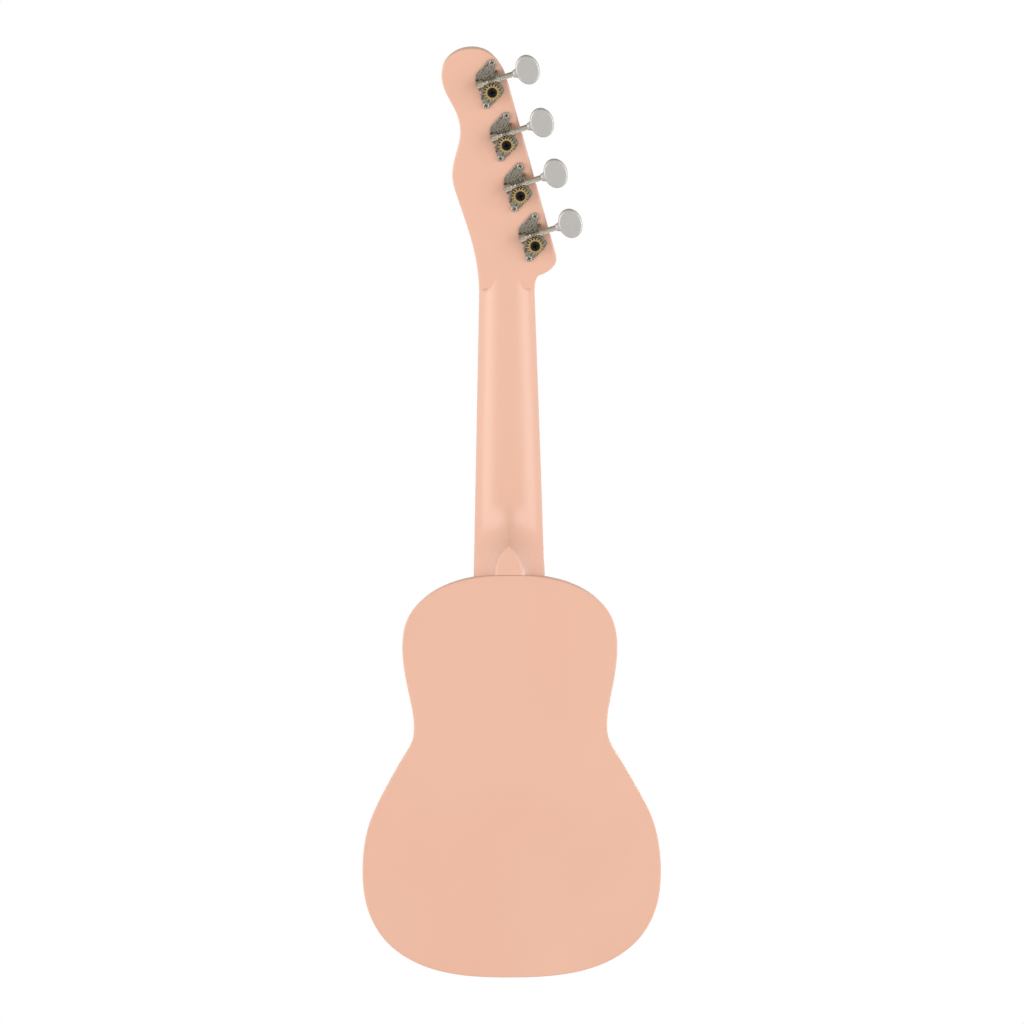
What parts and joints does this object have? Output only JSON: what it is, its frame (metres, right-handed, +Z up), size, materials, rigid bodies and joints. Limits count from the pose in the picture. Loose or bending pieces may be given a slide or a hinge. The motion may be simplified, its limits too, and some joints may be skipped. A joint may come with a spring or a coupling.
{
  "type": "ukulele",
  "caption": "Small plain wooden ukulele painted satin pale pink, with a waisted hollow body, round sound hole, fretted neck, pointed heel and a one-sided headstock with geared tuners.",
  "frame": {"origin": "centre of the back's flat outer face, on the middle line, half way up the body", "axes": "+Z up along the neck, -Y out of the back, +Y out of the strings' side, +X towards the tuner buttons"},
  "size_m": [0.1792, 0.0713, 0.5622],
  "materials": {
    "body_wood": "satin pale pink paint over laminated wood",
    "inner_wood": "bare pale spruce",
    "dark_wood": "oiled dark hardwood",
    "fret_wire": "polished nickel silver",
    "marker_shell": "pearly inlay",
    "nut_white": "polished off-white",
    "string_nylon": "clear to milky nylon",
    "plated_metal": "aged nickel plate with dark mottling",
    "button_metal": "satin plated cast metal",
    "brass": "dull cut brass",
    "black_screw": "black oxide",
    "label_paper": "plain matte paper"
  },
  "bodies": {
    "root": {"back": "body_wood", "top": "body_wood", "rib_bass": "body_wood", "rib_treble": "body_wood", "neck_block": "inner_wood", "tail_block": "inner_wood", "back_lining": "inner_wood", "top_lining": "inner_wood", "back_braces": "inner_wood", "top_braces": "inner_wood", "bridge_plate": "inner_wood", "label": "label_paper", "neck": "body_wood", "neck_dowel": "inner_wood", "fingerboard": "dark_wood", "frets": "fret_wire", "fret_markers": "marker_shell", "side_markers": "marker_shell", "nut": "nut_white", "bridge": "dark_wood", "saddle": "nut_white", "string_g": "string_nylon", "string_c": "string_nylon", "string_e": "string_nylon", "string_a": "string_nylon", "tuner_1_plate": "plated_metal", "tuner_2_plate": "plated_metal", "tuner_3_plate": "plated_metal", "tuner_4_plate": "plated_metal", "plate_screws": "plated_metal", "post_bushings": "plated_metal"},
    "tuner_1_worm": {"tuner_1_worm_shaft": "plated_metal", "tuner_1_button": "button_metal"},
    "tuner_1_string_post": {"tuner_1_worm_wheel": "brass", "tuner_1_post": "plated_metal", "tuner_1_wheel_screw": "black_screw", "string_g_winding": "string_nylon"},
    "tuner_2_worm": {"tuner_2_worm_shaft": "plated_metal", "tuner_2_button": "button_metal"},
    "tuner_2_string_post": {"tuner_2_worm_wheel": "brass", "tuner_2_post": "plated_metal", "tuner_2_wheel_screw": "black_screw", "string_c_winding": "string_nylon"},
    "tuner_3_worm": {"tuner_3_worm_shaft": "plated_metal", "tuner_3_button": "button_metal"},
    "tuner_3_string_post": {"tuner_3_worm_wheel": "brass", "tuner_3_post": "plated_metal", "tuner_3_wheel_screw": "black_screw", "string_e_winding": "string_nylon"},
    "tuner_4_worm": {"tuner_4_worm_shaft": "plated_metal", "tuner_4_button": "button_metal"},
    "tuner_4_string_post": {"tuner_4_worm_wheel": "brass", "tuner_4_post": "plated_metal", "tuner_4_wheel_screw": "black_screw", "string_a_winding": "string_nylon"}
  },
  "joints": [
    {"name": "tuner_1_button_turn", "type": "hinge", "parent": "root", "child": "tuner_1_worm", "pos_m": [0.01554, 0.03657, 0.32671], "axis": [0.9548, -0.0618, 0.2909], "continuous": true},
    {"name": "tuner_1_post_turn", "type": "hinge", "parent": "root", "child": "tuner_1_string_post", "pos_m": [0.0175, 0.04218, 0.32146], "axis": [0, -0.9781, -0.2079], "continuous": true},
    {"name": "tuner_2_button_turn", "type": "hinge", "parent": "root", "child": "tuner_2_worm", "pos_m": [0.00674, 0.03018, 0.35674], "axis": [0.9548, -0.0618, 0.2909], "continuous": true},
    {"name": "tuner_2_post_turn", "type": "hinge", "parent": "root", "child": "tuner_2_string_post", "pos_m": [0.0087, 0.0358, 0.35149], "axis": [0, -0.9781, -0.2079], "continuous": true},
    {"name": "tuner_3_button_turn", "type": "hinge", "parent": "root", "child": "tuner_3_worm", "pos_m": [-0.00136, 0.02376, 0.38697], "axis": [0.9548, -0.0618, 0.2909], "continuous": true},
    {"name": "tuner_3_post_turn", "type": "hinge", "parent": "root", "child": "tuner_3_string_post", "pos_m": [0.0006, 0.02937, 0.38172], "axis": [0, -0.9781, -0.2079], "continuous": true},
    {"name": "tuner_4_button_turn", "type": "hinge", "parent": "root", "child": "tuner_4_worm", "pos_m": [-0.00976, 0.01708, 0.41836], "axis": [0.9548, -0.0618, 0.2909], "continuous": true},
    {"name": "tuner_4_post_turn", "type": "hinge", "parent": "root", "child": "tuner_4_string_post", "pos_m": [-0.0078, 0.0227, 0.41312], "axis": [0, -0.9781, -0.2079], "continuous": true}
  ],
  "couplings": [
    {"joint": "tuner_1_post_turn", "follows": "tuner_1_button_turn", "ratio": 0.0625},
    {"joint": "tuner_2_post_turn", "follows": "tuner_2_button_turn", "ratio": 0.0625},
    {"joint": "tuner_3_post_turn", "follows": "tuner_3_button_turn", "ratio": 0.0625},
    {"joint": "tuner_4_post_turn", "follows": "tuner_4_button_turn", "ratio": 0.0625}
  ]
}
